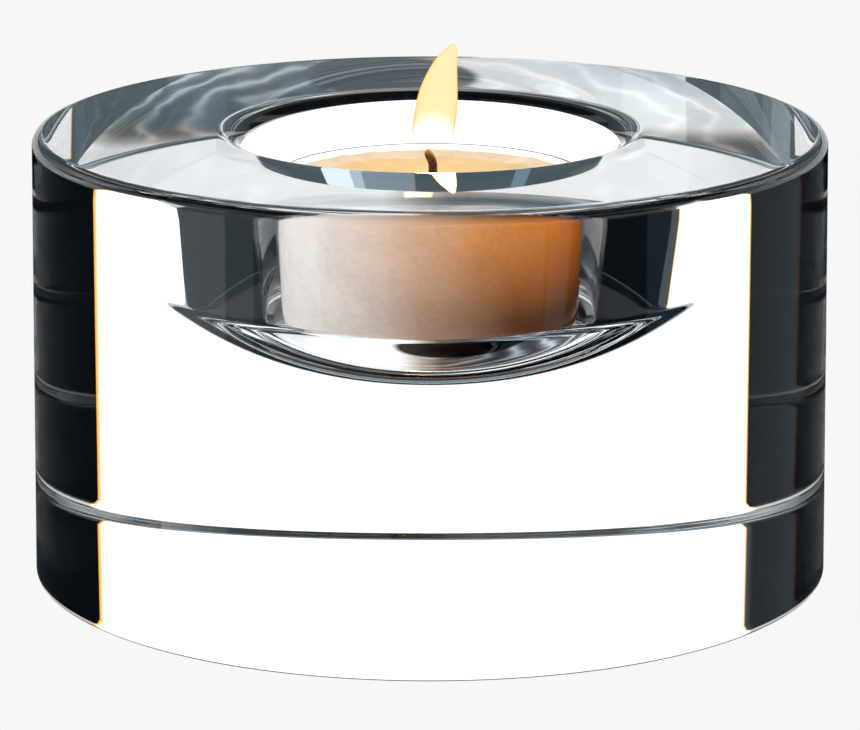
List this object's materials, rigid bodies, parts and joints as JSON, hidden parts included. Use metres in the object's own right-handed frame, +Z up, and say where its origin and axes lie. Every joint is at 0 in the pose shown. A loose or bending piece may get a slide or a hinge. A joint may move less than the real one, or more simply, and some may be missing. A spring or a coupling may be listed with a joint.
{
  "type": "tealight holder",
  "caption": "Thick round clear glass block with a flared round well in its top that holds a lift-out tealight in a clear cup.",
  "frame": {"origin": "centre of the underside of the glass block, on the surface it stands on", "axes": "+Z up along the block's axis, through the middle of the candle well; the burnt end of the wick leans towards -X"},
  "size_m": [0.0988, 0.0988, 0.056],
  "materials": {
    "clear_glass": "polished, clear and colourless",
    "clear_plastic": "clear, glossy",
    "wax": "translucent paraffin wax, melted and wet in the middle",
    "wick": "braided cotton, charred at the tip",
    "tinplate": "bright tinplate"
  },
  "bodies": {
    "holder": {"glass_block": "clear_glass"},
    "cup": {"candle_cup": "clear_plastic"},
    "refill": {"wax": "wax", "wick": "wick", "wick_sustainer": "tinplate"}
  },
  "joints": [
    {"name": "candle_lift", "type": "slide", "parent": "holder", "child": "cup", "axis": [0, 0, 1], "range_m": [0, 0.045]},
    {"name": "refill_lift", "type": "slide", "parent": "cup", "child": "refill", "axis": [0, 0, 1], "range_m": [0, 0.03]}
  ]
}
